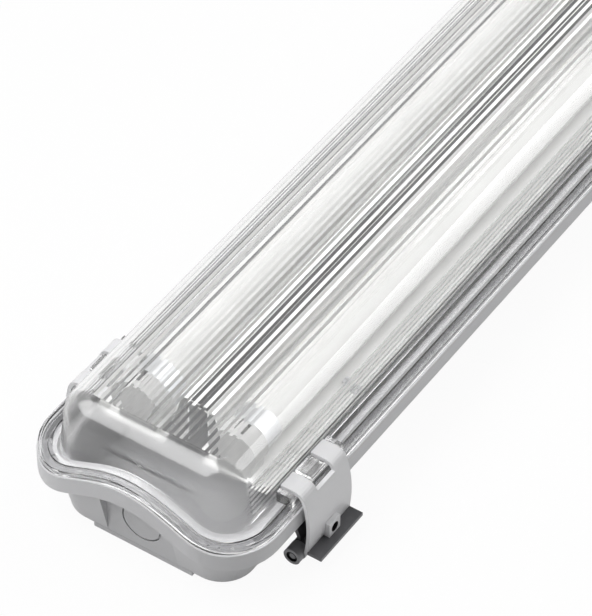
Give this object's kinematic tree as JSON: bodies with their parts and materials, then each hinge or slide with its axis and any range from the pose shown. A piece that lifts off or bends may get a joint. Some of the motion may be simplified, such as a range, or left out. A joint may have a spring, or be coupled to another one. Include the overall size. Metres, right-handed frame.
{
  "type": "vapor tight light fixture",
  "caption": "Long sealed ceiling light with a moulded housing, a clear ribbed lens held by side latches, and two linear lamps over a white gear tray.",
  "frame": {"origin": "centre of the mounting pads on the housing's back", "axes": "+X along the fixture towards the cable gland, +Y across it, +Z from the mounting face out through the lens"},
  "size_m": [1.3576, 0.1876, 0.09],
  "materials": {
    "housing": "fine satin moulded polycarbonate",
    "lens": "clear moulded polycarbonate",
    "gasket": "foamed sealing strip",
    "tray": "white enamel",
    "strip": "black strip",
    "zinc": "zinc-plated steel",
    "ballast": "bare sheet case",
    "white_plastic": "white moulded plastic",
    "brass": "plain brass",
    "black_rubber": "black rubber",
    "gland": "light grey nylon",
    "lead_brown": "brown insulated wire",
    "lead_white": "white insulated wire",
    "tube": "glass tube with white coating inside",
    "cap": "bare aluminium cap",
    "latch": "light grey moulded nylon",
    "link": "dark grey nylon"
  },
  "bodies": {
    "root": {"housing": "housing", "gasket": "gasket", "lens": "lens", "gear_tray": "tray", "wiring_strip": "strip", "tray_screws": "zinc", "ballast": "ballast", "ballast_screws": "zinc", "terminal_block": "white_plastic", "terminal_screws": "brass", "fixing_grommets": "black_rubber", "earth_stud": "brass", "gland_body": "gland", "gland_nut": "gland", "gland_seal": "black_rubber", "gland_washer": "black_rubber", "gland_locknut": "gland", "holder_near_left": "white_plastic", "holder_near_right": "white_plastic", "holder_far_left": "white_plastic", "holder_far_right": "white_plastic", "lamp_contacts": "brass", "supply_leads": "lead_brown", "lamp_leads": "lead_white", "latch_root_pins": "zinc"},
    "lamp_left": {"tube_left": "tube", "caps_left": "cap", "pins_left": "brass", "collars_left": "white_plastic"},
    "lamp_right": {"tube_right": "tube", "caps_right": "cap", "pins_right": "brass", "collars_right": "white_plastic"},
    "link_body_1": {"link_1": "link", "hinge_pin_1": "zinc"},
    "latch_body_1": {"latch_1": "latch"},
    "link_body_2": {"link_2": "link", "hinge_pin_2": "zinc"},
    "latch_body_2": {"latch_2": "latch"},
    "link_body_3": {"link_3": "link", "hinge_pin_3": "zinc"},
    "latch_body_3": {"latch_3": "latch"},
    "link_body_4": {"link_4": "link", "hinge_pin_4": "zinc"},
    "latch_body_4": {"latch_4": "latch"},
    "link_body_5": {"link_5": "link", "hinge_pin_5": "zinc"},
    "latch_body_5": {"latch_5": "latch"},
    "link_body_6": {"link_6": "link", "hinge_pin_6": "zinc"},
    "latch_body_6": {"latch_6": "latch"}
  },
  "joints": [
    {"name": "lamp_left_turn", "type": "hinge", "parent": "root", "child": "lamp_left", "pos_m": [0, 0.034, 0.063], "axis": [1, 0, 0], "range_deg": [0, 90]},
    {"name": "lamp_right_turn", "type": "hinge", "parent": "root", "child": "lamp_right", "pos_m": [0, -0.034, 0.063], "axis": [1, 0, 0], "range_deg": [0, 90]},
    {"name": "link_1_swing", "type": "hinge", "parent": "root", "child": "link_body_1", "pos_m": [-0.593, -0.0715, 0.023], "axis": [-1, 0, 0], "range_deg": [0, 75]},
    {"name": "latch_1_open", "type": "hinge", "parent": "link_body_1", "child": "latch_body_1", "pos_m": [-0.593, -0.0765, 0.0062], "axis": [1, 0, 0], "range_deg": [0, 135]},
    {"name": "link_2_swing", "type": "hinge", "parent": "root", "child": "link_body_2", "pos_m": [0, -0.0715, 0.023], "axis": [-1, 0, 0], "range_deg": [0, 75]},
    {"name": "latch_2_open", "type": "hinge", "parent": "link_body_2", "child": "latch_body_2", "pos_m": [0, -0.0765, 0.0062], "axis": [1, 0, 0], "range_deg": [0, 135]},
    {"name": "link_3_swing", "type": "hinge", "parent": "root", "child": "link_body_3", "pos_m": [0.593, -0.0715, 0.023], "axis": [-1, 0, 0], "range_deg": [0, 75]},
    {"name": "latch_3_open", "type": "hinge", "parent": "link_body_3", "child": "latch_body_3", "pos_m": [0.593, -0.0765, 0.0062], "axis": [1, 0, 0], "range_deg": [0, 135]},
    {"name": "link_4_swing", "type": "hinge", "parent": "root", "child": "link_body_4", "pos_m": [-0.593, 0.0715, 0.023], "axis": [1, 0, 0], "range_deg": [0, 75]},
    {"name": "latch_4_open", "type": "hinge", "parent": "link_body_4", "child": "latch_body_4", "pos_m": [-0.593, 0.0765, 0.0062], "axis": [-1, 0, 0], "range_deg": [0, 135]},
    {"name": "link_5_swing", "type": "hinge", "parent": "root", "child": "link_body_5", "pos_m": [0, 0.0715, 0.023], "axis": [1, 0, 0], "range_deg": [0, 75]},
    {"name": "latch_5_open", "type": "hinge", "parent": "link_body_5", "child": "latch_body_5", "pos_m": [0, 0.0765, 0.0062], "axis": [-1, 0, 0], "range_deg": [0, 135]},
    {"name": "link_6_swing", "type": "hinge", "parent": "root", "child": "link_body_6", "pos_m": [0.593, 0.0715, 0.023], "axis": [1, 0, 0], "range_deg": [0, 75]},
    {"name": "latch_6_open", "type": "hinge", "parent": "link_body_6", "child": "latch_body_6", "pos_m": [0.593, 0.0765, 0.0062], "axis": [-1, 0, 0], "range_deg": [0, 135]}
  ],
  "couplings": [
    {"joint": "latch_1_open", "follows": "link_1_swing", "ratio": 1.8},
    {"joint": "latch_2_open", "follows": "link_2_swing", "ratio": 1.8},
    {"joint": "latch_3_open", "follows": "link_3_swing", "ratio": 1.8},
    {"joint": "latch_4_open", "follows": "link_4_swing", "ratio": 1.8},
    {"joint": "latch_5_open", "follows": "link_5_swing", "ratio": 1.8},
    {"joint": "latch_6_open", "follows": "link_6_swing", "ratio": 1.8}
  ]
}
